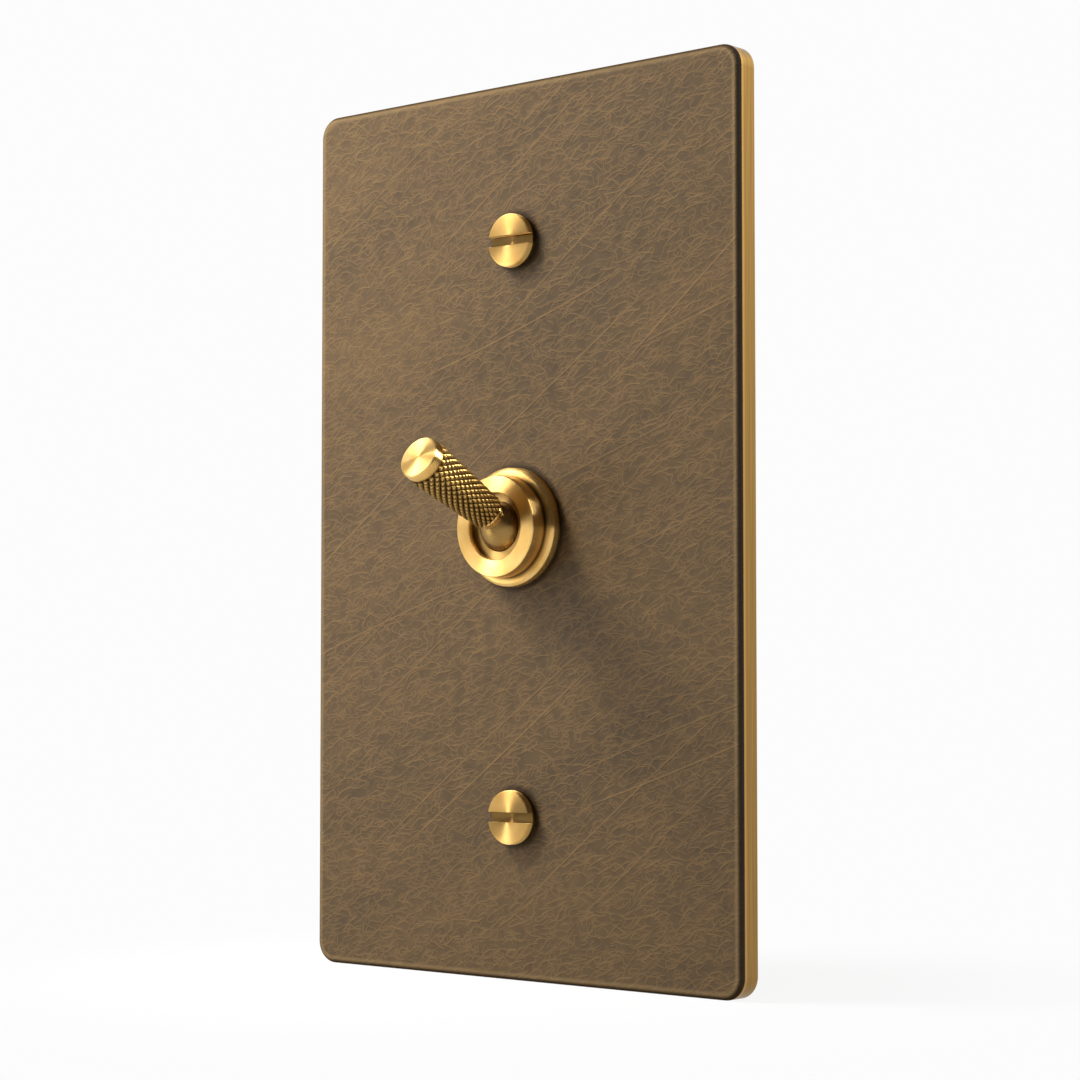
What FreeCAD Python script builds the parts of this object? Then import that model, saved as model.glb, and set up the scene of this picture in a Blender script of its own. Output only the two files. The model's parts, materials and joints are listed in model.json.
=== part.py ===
import FreeCAD, Part
import Sketcher
import math
import os
import re

# Driving dimensions of the switch, in millimetres and degrees.
SIZES = {
    # face plate
    "plate_width": 80.0, "plate_height": 130.0, "plate_thickness": 4.0,
    "plate_corner": 3.2, "plate_round": 0.75, "plate_break": 0.3,
    "seat_depth": 2.4, "seat_gap": 0.4, "seat_corner": 3.0,
    # screws into the wall box
    "screw_spacing": 83.34, "screw_hole": 4.5, "screw_head": 7.8, "screw_head_height": 1.7,
    "screw_round": 0.3, "screw_slot": 1.5, "screw_slot_depth": 1.0, "screw_neck": 3.0,
    "screw_neck_spare": 0.3, "screw_thread_diameter": 3.5, "screw_length": 25.4, "screw_point": 0.5,
    # collar on the front
    "nut_diameter": 14.6, "nut_height": 2.7, "nut_mouth": 9.7, "nut_lip": 1.0, "nut_break": 0.2,
    "washer_diameter": 17.2, "washer_height": 1.9, "washer_bevel": 0.45,
    "thread_play": 0.1, "lip_gap": 0.1,
    # bush and its lock washer
    "bush_diameter": 12.0, "bush_flange": 16.0, "bush_flange_height": 1.2, "bush_break": 0.3,
    "hole_play": 0.15, "lock_diameter": 16.0, "lock_height": 0.6, "lock_notch": 1.3, "lock_teeth": 12,
    # lever: distances run along its axis from the centre of the ball
    "dolly_tilt": 26.0, "pivot_depth": 2.4, "ball_diameter": 7.4, "ball_play": 0.1, "swing_play": 0.25,
    "neck_diameter": 4.0, "shoulder_height": 3.4, "stem_diameter": 3.0, "stem_length": 10.0,
    "stem_play": 0.05, "tail_diameter": 3.2, "tail_length": 6.3, "tail_bore": 2.0, "bore_depth": 1.7,
    "pin_diameter": 1.6, "pin_length": 11.2, "pin_play": 0.05,
    "plunger_diameter": 1.8, "plunger_length": 9.0, "plunger_depth": 4.6,
    "spring_wire": 0.26, "spring_diameter": 1.3, "spring_turns": 5,
    # knurled grip
    "grip_length": 20.5, "grip_cap": 1.4, "cap_diameter": 6.5, "face_diameter": 6.0,
    "grip_lead": 0.8, "base_diameter": 4.1, "knurl_low": 4.6, "knurl_high": 6.4, "knurl_depth": 0.35,
    "knurl_starts": 20, "knurl_rows": 11,
    # folded frame
    "frame_sheet": 1.2, "leg_width": 12.0, "leg_play": 0.05, "clasp_length": 1.5,
    "tab_width": 9.0, "tab_length": 10.0,
    # moulded case
    "case_width": 18.0, "case_height": 31.0, "case_depth": 12.4, "case_wall": 1.6, "case_floor": 2.0,
    "rib_height": 5.0, "rib_thickness": 1.2, "rib_width": 13.6, "slot_play": 0.05,
    # rocker
    "rocker_drop": 13.4, "rocker_tilt": 5.0, "cradle_gap": 0.15, "cradle_span": 9.4, "rocker_width": 5.2,
    "contact_sheet": 0.8, "contact_end": 0.1, "contact_lift": 0.9, "ear_drop": 1.3, "ear_width": 3.2,
    "rocker_pin": 2.0, "rocker_pin_play": 0.05, "rocker_pin_spare": 0.2,
    "tip_inset": 3.8, "moving_tip": 2.6, "moving_tip_height": 0.7,
    "fixed_tip": 3.0, "fixed_tip_height": 0.8, "contact_gap": 0.08,
    # terminals
    "terminal_sheet": 1.0, "terminal_width": 6.0, "terminal_length": 6.0, "riser_inset": 4.1,
    "lug_gap": 6.8, "lug_rise": 1.6, "lug_width": 5.2, "clamp_size": 5.6, "clamp_height": 0.9,
    "terminal_diameter": 3.0, "terminal_head": 5.2, "terminal_head_height": 2.0, "terminal_slot": 0.9,
    "terminal_slot_depth": 1.0, "terminal_bite": 1.2, "bite_play": 0.15,
    # earth connection
    "earth_diameter": 3.5, "earth_head": 6.4, "earth_head_height": 2.0, "earth_washer": 7.4,
    "earth_washer_height": 0.8,
}

doc = FreeCAD.newDocument("dolly_switch")
sheet = doc.addObject("Spreadsheet::Sheet", "Sizes")
for row, (alias, number) in enumerate(SIZES.items(), start=1):
    sheet.set(f"A{row}", alias)
    sheet.set(f"B{row}", str(number))
    sheet.setAlias(f"B{row}", alias)
doc.recompute()

ALIASES = re.compile(r"\b(" + "|".join(SIZES) + r")\b")


def cells(text):
    """The expression with each alias written as a cell of the sheet."""
    return ALIASES.sub(r"Sizes.\1", text)


def value(text):
    return float(sheet.evalExpression(cells(text)))


def bind(item, path, text):
    item.setExpression(path, cells(text))


# Levels measured out from the wall, which is the plane of the plate's back.
COLLAR_FRONT = "(plate_thickness + washer_height + nut_height)"
PIVOT = f"({COLLAR_FRONT} - pivot_depth)"
BUSH_FRONT = f"({COLLAR_FRONT} - nut_lip - lip_gap)"
FLANGE_FRONT = "(seat_depth - lock_height)"
FLANGE_BACK = f"({FLANGE_FRONT} - bush_flange_height)"
FRAME_BACK = f"({FLANGE_BACK} - frame_sheet)"
CASE_BACK = f"({FRAME_BACK} - case_depth)"
FLOOR = f"({CASE_BACK} + case_floor)"
ROCKER = f"({PIVOT} - rocker_drop)"
RISER = "(case_height / 2 - riser_inset)"
TIP_ARM = f"({RISER} - tip_inset)"
TIP_FACE = (f"({ROCKER} + (contact_lift - moving_tip_height) * cos(rocker_tilt)"
            f" - ({TIP_ARM} + moving_tip / 2) * sin(rocker_tilt) - contact_gap)")
TERMINAL_FRONT = f"({TIP_FACE} - fixed_tip_height)"
TERMINAL_BACK = f"({CASE_BACK} - terminal_sheet)"

# Radii and offsets that neighbouring pieces share.
BALL = "(ball_diameter / 2)"
SEAT = f"({BALL} + ball_play)"
LEG_INSIDE = "(case_width / 2 + leg_play)"
LEG_OUTSIDE = f"({LEG_INSIDE} + frame_sheet)"
TAB_END = "(case_height / 2 + tab_length)"
EARTH_HEIGHT = "(case_height / 2 + tab_length / 2)"
LUG_OUTSIDE = "(lug_gap / 2 + terminal_sheet)"
TERMINAL_SCREW = f"({RISER} - terminal_length / 2 - terminal_sheet / 2)"
RIB = f"((lug_width / 2 + {RISER} - terminal_length) / 2)"


def flare(level):
    """Radius that lets the tail swing to either side at a level behind the ball."""
    return (f"(({PIVOT} - {level}) * tan(dolly_tilt) + tail_diameter / 2 / cos(dolly_tilt)"
            " + swing_play)")


def locate(sketch, geo, pos, x, y):
    """Hold a point of a sketch at two expressions."""
    for kind, axis, text in (("DistanceX", -2, x), ("DistanceY", -1, y)):
        if text == "0":
            sketch.addConstraint(Sketcher.Constraint("PointOnObject", geo, pos, axis))
        else:
            held = sketch.addConstraint(Sketcher.Constraint(kind, -1, 1, geo, pos, value(text)))
            bind(sketch, f"Constraints[{held}]", text)


def draw_circle(sketch, x, y, diameter):
    centre = FreeCAD.Vector(value(x), value(y), 0)
    geo = sketch.addGeometry(Part.Circle(centre, FreeCAD.Vector(0, 0, 1), value(diameter) / 2))
    locate(sketch, geo, 3, x, y)
    held = sketch.addConstraint(Sketcher.Constraint("Diameter", geo, value(diameter)))
    bind(sketch, f"Constraints[{held}]", diameter)


def draw_outline(sketch, corners):
    """Close a line through the corners; one with a radius and a centre height ends an arc."""
    spots = [FreeCAD.Vector(value(corner[0]), value(corner[1]), 0) for corner in corners]
    edges = []
    for here in range(len(corners)):
        after = (here + 1) % len(corners)
        start, end = spots[here], spots[after]
        if len(corners[after]) == 2:
            edges.append((sketch.addGeometry(Part.LineSegment(start, end)), 1, 2))
            continue
        radius, height = corners[after][2:]
        centre = FreeCAD.Vector(0, value(height), 0)
        first, last = (math.atan2(spot.y - centre.y, spot.x) for spot in (start, end))
        forward = math.sin(last - first) > 0
        circle = Part.Circle(centre, FreeCAD.Vector(0, 0, 1), value(radius))
        geo = sketch.addGeometry(Part.ArcOfCircle(circle, *((first, last) if forward else (last, first))))
        edges.append((geo, 1, 2) if forward else (geo, 2, 1))
        held = sketch.addConstraint(Sketcher.Constraint("Radius", geo, value(radius)))
        bind(sketch, f"Constraints[{held}]", radius)
    for here, (geo, start, _) in enumerate(edges):
        before, _, end = edges[here - 1]
        sketch.addConstraint(Sketcher.Constraint("Coincident", before, end, geo, start))
        locate(sketch, geo, start, *corners[here][:2])


def rectangle(left, bottom, right, top):
    return [(left, bottom), (right, bottom), (right, top), (left, top)]


def block(width, bottom, top):
    """Rectangle centred across and running between two heights."""
    return rectangle(f"-{width} / 2", bottom, f"{width} / 2", top)


class Piece:
    """A body drawn with x right, y up and z out of the wall, then stood in the frame."""

    def __init__(self, label, level="0", turn="90"):
        self.body = doc.addObject("PartDesign::Body", label)
        self.body.Label = label
        place(self.body, level, turn)

    def sketch(self, role, outline, level):
        sketch = self.body.newObject("Sketcher::SketchObject", "Outline")
        plane = next(item for item in self.body.Origin.OriginFeatures if item.Role == role)
        sketch.AttachmentSupport = (plane, "")
        sketch.MapMode = "FlatFace"
        bind(sketch, "AttachmentOffset.Base.z", level)
        if isinstance(outline, tuple):
            draw_circle(sketch, *outline)
        else:
            draw_outline(sketch, outline)
        doc.recompute()
        return sketch

    def extrude(self, role, outline, start, length, cut=False):
        """Pad, or pocket, along the plane's normal from a level by a length."""
        sketch = self.sketch(role, outline, start)
        before = self.volume()
        item = self.body.newObject("PartDesign::Pocket" if cut else "PartDesign::Pad", "Extrusion")
        item.Profile = sketch
        item.Reversed = cut
        bind(item, "Length", length)
        return self.settle(item, before, cut)

    def revolve(self, outline, cut=False):
        """Turn an outline of radius and height round the piece's z axis."""
        sketch = self.sketch("XZ_Plane", outline, "0")
        before = self.volume()
        item = self.body.newObject("PartDesign::Groove" if cut else "PartDesign::Revolution", "Turning")
        item.Profile = sketch
        item.ReferenceAxis = (sketch, ["V_Axis"])
        item.Angle = 360
        return self.settle(item, before, cut)

    def dress(self, kind, size, chosen):
        """Fillet or chamfer the edges of the last feature that the test picks."""
        base = self.body.Tip
        names = [f"Edge{number}" for number, edge in enumerate(base.Shape.Edges, 1) if chosen(edge)]
        item = self.body.newObject("PartDesign::" + kind, kind)
        item.Base = (base, names)
        bind(item, "Radius" if kind == "Fillet" else "Size", size)
        doc.recompute()

    def polar(self, feature, count):
        item = self.body.newObject("PartDesign::PolarPattern", "Pattern")
        item.Originals = [feature]
        item.Axis = (feature.Profile[0], ["N_Axis"])
        item.Angle = 360
        bind(item, "Occurrences", count)
        self.body.Tip = item
        doc.recompute()

    def volume(self):
        tip = self.body.Tip
        return tip.Shape.Volume if tip and hasattr(tip, "Shape") and not tip.Shape.isNull() else 0.0

    def settle(self, item, before, cut):
        doc.recompute()
        gain = self.volume() - before
        if (gain >= 0) == cut:
            raise RuntimeError(f"{self.body.Label}: {item.Name} went the wrong way ({gain:.3f})")
        return item


def place(item, level, turn):
    """Stand a piece at a level out from the wall, turned about the x axis."""
    item.Placement = FreeCAD.Placement(FreeCAD.Vector(), FreeCAD.Rotation(FreeCAD.Vector(1, 0, 0), 90))
    bind(item, "Placement.Base.y", f"-({level})")
    bind(item, "Placement.Rotation.Angle", turn)


def flat(edge, level):
    return max(abs(vertex.Z - level) for vertex in edge.Vertexes) < 1e-4


def upright(edge):
    ends = edge.Vertexes
    return len(ends) == 2 and math.hypot(ends[0].X - ends[1].X, ends[0].Y - ends[1].Y) < 1e-4


def group(label, pieces):
    item = doc.addObject("Part::Compound", label)
    item.Label = label
    item.Links = [piece.body for piece in pieces]
    return item


nodes = []


def face_plate():
    """Plate with a rounded front edge and a seat milled in its back for the switch."""
    piece = Piece("face_plate")
    piece.extrude("XY_Plane", block("plate_width", "-plate_height / 2", "plate_height / 2"),
                  "0", "plate_thickness")
    piece.dress("Fillet", "plate_corner", upright)
    front = value("plate_thickness")
    piece.dress("Fillet", "plate_round", lambda edge: flat(edge, front))
    piece.dress("Chamfer", "plate_break", lambda edge: flat(edge, 0.0))
    half = f"({LEG_OUTSIDE} + seat_gap)"
    piece.extrude("XY_Plane", rectangle(f"-{half}", f"-{TAB_END} - seat_gap", half,
                                        "case_height / 2 + seat_gap"), "0", "seat_depth", cut=True)
    reach = value(half) + 0.01
    piece.dress("Fillet", "seat_corner", lambda edge: upright(edge) and abs(edge.Vertexes[0].X) < reach)
    piece.extrude("XY_Plane", ("0", "0", "bush_diameter + 2 * hole_play"), "0", "plate_thickness", cut=True)
    for side in ("", "-"):
        piece.extrude("XY_Plane", ("0", f"{side}screw_spacing / 2", "screw_hole"), "0",
                      "plate_thickness", cut=True)
    nodes.append(piece.body)


def mill_slot(piece, height, head, start, length, slot):
    """Cut a level slot across a screw's head."""
    piece.extrude("XY_Plane", block(f"({head} + 1)", f"{height} - {slot} / 2", f"{height} + {slot} / 2"),
                  start, length, cut=True)


def box_screws():
    """Cheese-head screws whose necks are relieved inside the plate."""
    seat, top = "plate_thickness", "(plate_thickness + screw_head_height)"
    end, thread = "(plate_thickness - screw_length)", "screw_thread_diameter / 2"
    screws = []
    for name, side in (("upper", ""), ("lower", "-")):
        piece = Piece(f"box_screw_{name}")
        bind(piece.body, "Placement.Base.z", f"{side}screw_spacing / 2")
        piece.revolve([("0", end), (f"{thread} - screw_point", end), (thread, f"{end} + screw_point"),
                       (thread, "-screw_neck_spare"), ("screw_neck / 2", "-screw_neck_spare"),
                       ("screw_neck / 2", seat),
                       ("screw_head / 2", seat), ("screw_head / 2", top), ("0", top)])
        rim = value(top)
        piece.dress("Fillet", "screw_round", lambda edge: flat(edge, rim))
        mill_slot(piece, "0", "screw_head", f"{top} - screw_slot_depth", "screw_slot_depth + 1", "screw_slot")
        screws.append(piece)
    nodes.append(group("box_screws", screws))


def rear_screw(label, height, thread, head, head_height, seat, bite):
    """Slotted screw driven from behind, its head bearing on a seat that faces the wall box."""
    piece = Piece(label)
    back = f"({seat} - {head_height})"
    piece.extrude("XY_Plane", ("0", height, head), back, head_height)
    piece.extrude("XY_Plane", ("0", height, thread), seat, bite)
    mill_slot(piece, height, head, f"{back} - 1", "terminal_slot_depth + 1", "terminal_slot")
    return piece


def rear_washer(label, height, outline, thread, start, thickness):
    """Plate or ring under a rear screw's head."""
    piece = Piece(label)
    piece.extrude("XY_Plane", outline, start, thickness)
    piece.extrude("XY_Plane", ("0", height, f"{thread} + 2 * bite_play"), start, thickness, cut=True)
    return piece


def collar():
    """Lipped ring nut over a wider bevelled washer."""
    washer = Piece("dress_washer")
    hole, rim = "(bush_diameter / 2 + thread_play)", "washer_diameter / 2"
    base, top = "plate_thickness", "(plate_thickness + washer_height)"
    washer.revolve([(hole, base), (rim, base), (rim, f"{top} - washer_bevel"),
                    (f"{rim} - washer_bevel", top), (hole, top)])
    nut = Piece("dress_nut")
    mouth, rim, lip = "nut_mouth / 2", "nut_diameter / 2", f"{COLLAR_FRONT} - nut_lip"
    nut.revolve([(hole, top), (rim, top), (rim, f"{COLLAR_FRONT} - nut_break"),
                 (f"{rim} - nut_break", COLLAR_FRONT), (f"{mouth} + nut_break", COLLAR_FRONT),
                 (mouth, f"{COLLAR_FRONT} - nut_break"), (mouth, lip), (hole, lip)])
    nodes.extend((washer.body, nut.body))


def bush():
    """Threaded barrel with a ball seat at its mouth and a flared back for the tail's swing."""
    piece = Piece("bush")
    rim, flange = "bush_diameter / 2", "bush_flange / 2"
    mouth = f"sqrt({SEAT} ^ 2 - ({BUSH_FRONT} - {PIVOT}) ^ 2)"
    meets = f"{PIVOT} - ({SEAT} - tail_diameter / 2 / cos(dolly_tilt) - swing_play) / tan(dolly_tilt)"
    piece.revolve([(mouth, BUSH_FRONT), (SEAT, PIVOT, SEAT, PIVOT), (SEAT, meets),
                   (flare(FLANGE_BACK), FLANGE_BACK), (flange, FLANGE_BACK), (flange, FLANGE_FRONT),
                   (rim, FLANGE_FRONT), (rim, f"{BUSH_FRONT} - bush_break"),
                   (f"{rim} - bush_break", BUSH_FRONT)])
    piece.extrude("YZ_Plane", ("0", PIVOT, "pin_diameter"), f"-{rim}", "bush_diameter", cut=True)
    nodes.append(piece.body)
    pin = Piece("pivot_pin")
    pin.extrude("YZ_Plane", ("0", PIVOT, "pin_diameter"), "-pin_length / 2", "pin_length")
    nodes.append(pin.body)


def lock_washer():
    """Toothed ring between the bush flange and the floor of the plate's seat."""
    piece = Piece("lock_washer")
    piece.extrude("XY_Plane", ("0", "0", "lock_diameter"), FLANGE_FRONT, "lock_height")
    piece.extrude("XY_Plane", ("0", "0", "bush_diameter + 2 * thread_play"), FLANGE_FRONT, "lock_height",
                  cut=True)
    notch = piece.extrude("XY_Plane", ("0", "lock_diameter / 2", "lock_notch"), FLANGE_FRONT, "lock_height",
                          cut=True)
    piece.polar(notch, "lock_teeth")
    nodes.append(piece.body)


def lever_piece(label):
    return Piece(label, PIVOT, "90 - dolly_tilt")


def lever():
    """Ball with a front stem for the grip and a bored tail for the plunger."""
    piece = lever_piece("dolly_lever")
    stem, neck, tail = "stem_diameter / 2", "neck_diameter / 2", "tail_diameter / 2"
    piece.revolve([("0", "stem_length"), ("0", "-tail_length"), (tail, "-tail_length"),
                   (tail, f"-sqrt({BALL} ^ 2 - ({tail}) ^ 2)"),
                   (neck, f"sqrt({BALL} ^ 2 - ({neck}) ^ 2)", BALL, "0"), (neck, "shoulder_height"),
                   (stem, "shoulder_height"), (stem, "stem_length")])
    piece.extrude("XY_Plane", ("0", "0", "tail_bore"), "-tail_length", "tail_length - bore_depth", cut=True)
    piece.extrude("YZ_Plane", ("0", "0", "pin_diameter + 2 * pin_play"), f"-{BALL}", "ball_diameter",
                  cut=True)
    nodes.append(piece.body)

    plunger = lever_piece("plunger")
    radius = "plunger_diameter / 2"
    dome = f"{radius} - plunger_length"
    plunger.revolve([("0", "-plunger_depth"), ("0", "-plunger_length"), (radius, dome, radius, dome),
                     (radius, "-plunger_depth")])
    nodes.append(plunger.body)

    spring = lever_piece("plunger_spring")
    height = "(plunger_depth - bore_depth - 1.2 * spring_wire)"
    wire = spring.sketch("XZ_Plane", ("spring_diameter / 2", "-plunger_depth + 0.6 * spring_wire",
                                      "spring_wire"), "0")
    coil = spring.body.newObject("PartDesign::AdditiveHelix", "Coil")
    coil.Profile = wire
    coil.ReferenceAxis = (wire, ["V_Axis"])
    coil.Mode = 0
    bind(coil, "Pitch", f"{height} / spring_turns")
    bind(coil, "Height", height)
    doc.recompute()
    nodes.append(spring.body)


def knurl_solid(starts, rows, low, high, low_radius, high_radius, depth):
    """Pyramids left between two families of helical grooves, closed by flat ends."""
    def node(around, along, lift=0.0):
        share = along / (2 * rows)
        radius = low_radius + (high_radius - low_radius) * share + lift
        angle = math.pi * around / starts
        return FreeCAD.Vector(radius * math.cos(angle), radius * math.sin(angle), low + (high - low) * share)

    def facet(*spots):
        return Part.Face(Part.makePolygon([*spots, spots[0]]))

    faces = []
    for along in range(1, 2 * rows):
        for around in range((along + 1) % 2, 2 * starts, 2):
            ring = [node(around + 1, along), node(around, along + 1),
                    node(around - 1, along), node(around, along - 1)]
            peak = node(around, along, depth)
            faces += [facet(peak, ring[side - 1], ring[side]) for side in range(4)]
    for along, inward in ((0, 1), (2 * rows, -1)):
        rim = [node(around, along) for around in range(0, 2 * starts, 2)]
        faces.append(facet(*rim))
        faces += [facet(rim[side], rim[(side + 1) % starts], node(2 * side + 1, along + inward))
                  for side in range(starts)]
    shell = Part.makeShell(faces)
    shell.sewShape()
    return Part.makeSolid(shell)


def grip():
    """Dolly grip: turned base and cap with a diamond knurl rolled between them."""
    low, high = "(shoulder_height + grip_lead)", "(grip_length - grip_cap)"
    core = lever_piece("grip_core")
    base, waist, cap = "base_diameter / 2", "knurl_low / 2", "cap_diameter / 2"
    core.revolve([("0", "shoulder_height"), (base, "shoulder_height"), (waist, low),
                  (base, f"{low} + grip_lead"), (base, f"{high} - grip_cap"), (cap, high),
                  ("face_diameter / 2", "grip_length"), ("0", "grip_length")])
    knurl = doc.addObject("Part::Feature", "grip_knurl")
    knurl.Shape = knurl_solid(round(value("knurl_starts")), round(value("knurl_rows")), value(low),
                              value(high), value(waist), value("knurl_high / 2"), value("knurl_depth"))
    place(knurl, PIVOT, "90 - dolly_tilt")
    blank = doc.addObject("Part::Fuse", "grip_blank")
    blank.Base, blank.Tool = core.body, knurl
    hole = lever_piece("stem_hole")
    hole.extrude("XY_Plane", ("0", "0", "stem_diameter + 2 * stem_play"), "shoulder_height",
                 "stem_length - shoulder_height + stem_play")
    item = doc.addObject("Part::Cut", "dolly_grip")
    item.Label = "dolly_grip"
    item.Base, item.Tool = blank, hole.body
    doc.recompute()
    nodes.append(item)


def frame():
    """Steel frame: front sheet with an earth tab and two legs clasped under the case."""
    piece = Piece("switch_frame")
    half, top = "case_height / 2", "case_height / 2"
    piece.extrude("XY_Plane", [(f"-{LEG_INSIDE}", f"-{half}"), ("-tab_width / 2", f"-{half}"),
                               ("-tab_width / 2", f"-{TAB_END}"), ("tab_width / 2", f"-{TAB_END}"),
                               ("tab_width / 2", f"-{half}"), (LEG_INSIDE, f"-{half}"),
                               (LEG_INSIDE, top), (f"-{LEG_INSIDE}", top)], FRAME_BACK, "frame_sheet")
    piece.dress("Fillet", "seat_corner", lambda edge: upright(edge) and (
        edge.Vertexes[0].Y > 0 or abs(edge.Vertexes[0].X) < value("tab_width / 2 + 0.1")
        and edge.Vertexes[0].Y < -value(TAB_END) + 0.1))
    clasp = f"({CASE_BACK} - leg_play)"
    for side in ("-", ""):
        piece.extrude("XZ_Plane", [(f"{side}{LEG_INSIDE}", FLANGE_BACK), (f"{side}{LEG_INSIDE}", clasp),
                                   (f"{side}({LEG_INSIDE} - clasp_length)", clasp),
                                   (f"{side}({LEG_INSIDE} - clasp_length)", f"{clasp} - frame_sheet"),
                                   (f"{side}{LEG_OUTSIDE}", f"{clasp} - frame_sheet"),
                                   (f"{side}{LEG_OUTSIDE}", FLANGE_BACK)], "-leg_width / 2", "leg_width")
    edge_x, front, back = value(LEG_OUTSIDE), value(FLANGE_BACK), value(f"{clasp} - frame_sheet")
    piece.dress("Fillet", "frame_sheet * 0.8", lambda edge: (
        min(abs(vertex.X) for vertex in edge.Vertexes) > edge_x - 1e-4
        and (flat(edge, front) or flat(edge, back))))
    piece.extrude("XY_Plane", ("0", "0", f"2 * {flare(FRAME_BACK)}"), FRAME_BACK, "frame_sheet", cut=True)
    piece.extrude("XY_Plane", ("0", f"-{EARTH_HEIGHT}", "earth_diameter"), FRAME_BACK, "frame_sheet",
                  cut=True)
    nodes.append(piece.body)


def case():
    """Moulded case, open to the front, with barriers between its three terminals."""
    piece = Piece("switch_case")
    half = "case_height / 2"
    piece.extrude("XY_Plane", block("case_width", f"-{half}", half), CASE_BACK, "case_depth")
    piece.dress("Fillet", "case_wall", upright)
    piece.extrude("XY_Plane", block("(case_width - 2 * case_wall)", f"case_wall - {half}",
                                    f"{half} - case_wall"), FLOOR, "case_depth - case_floor", cut=True)
    for side in ("", "-"):
        middle = f"{side}{RIB}"
        piece.extrude("XY_Plane", block("rib_width", f"{middle} - rib_thickness / 2",
                                        f"{middle} + rib_thickness / 2"),
                      f"{CASE_BACK} - rib_height", "rib_height")
        inner, outer = f"({RISER} - terminal_sheet - slot_play)", f"({RISER} + slot_play)"
        low, high = (inner, outer) if side == "" else (f"-{outer}", f"-{inner}")
        piece.extrude("XY_Plane", block("(terminal_width + 2 * slot_play)", low, high),
                      CASE_BACK, "case_floor", cut=True)
    piece.extrude("XY_Plane", rectangle("lug_gap / 2 - slot_play", "-lug_width / 2 - slot_play",
                                        f"{LUG_OUTSIDE} + slot_play", "lug_width / 2 + slot_play"),
                  CASE_BACK, "case_floor", cut=True)
    for height in ("0", TERMINAL_SCREW, f"-{TERMINAL_SCREW}"):
        piece.extrude("XY_Plane", ("0", height, "terminal_diameter + 2 * bite_play"), CASE_BACK,
                      "terminal_bite + bite_play", cut=True)
    nodes.append(piece.body)


def rocker_piece(label):
    return Piece(label, ROCKER, "90 + rocker_tilt")


def rocker():
    """See-saw contact on its pin, with the saddle that the plunger presses."""
    top = "(contact_lift + contact_sheet)"
    radius = "(plunger_length + cradle_gap)"
    edge = f"rocker_drop - sqrt({radius} ^ 2 - (cradle_span / 2) ^ 2)"
    cradle = rocker_piece("rocker_cradle")
    cradle.extrude("YZ_Plane", [("cradle_span / 2", edge), ("-cradle_span / 2", edge, radius, "rocker_drop"),
                                ("-cradle_span / 2", top), ("cradle_span / 2", top)],
                   "-rocker_width / 2", "rocker_width")
    nodes.append(cradle.body)

    contact = rocker_piece("moving_contact")
    contact.extrude("YZ_Plane", block(f"({TIP_ARM} * 2 + moving_tip + 2 * contact_end)", "contact_lift", top),
                    "-rocker_width / 2", "rocker_width")
    inside = "rocker_width / 2 - contact_sheet"
    for start in (inside, "-rocker_width / 2"):
        contact.extrude("YZ_Plane", block("ear_width", "-ear_drop", top), start, "contact_sheet")
    contact.extrude("YZ_Plane", ("0", "0", "rocker_pin + 2 * rocker_pin_play"), "-rocker_width / 2",
                    "rocker_width", cut=True)
    nodes.append(contact.body)

    tips = []
    for name, side in (("upper", ""), ("lower", "-")):
        tip = rocker_piece(f"moving_tip_{name}")
        tip.extrude("XY_Plane", ("0", f"{side}{TIP_ARM}", "moving_tip"), "contact_lift - moving_tip_height",
                    "moving_tip_height")
        tips.append(tip)
    nodes.append(group("moving_tips", tips))

    pin = Piece("rocker_pin")
    reach = f"({LUG_OUTSIDE} + rocker_pin_spare)"
    pin.extrude("YZ_Plane", ("0", ROCKER, "rocker_pin"), f"-{reach}", f"2 * {reach}")
    nodes.append(pin.body)


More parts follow.
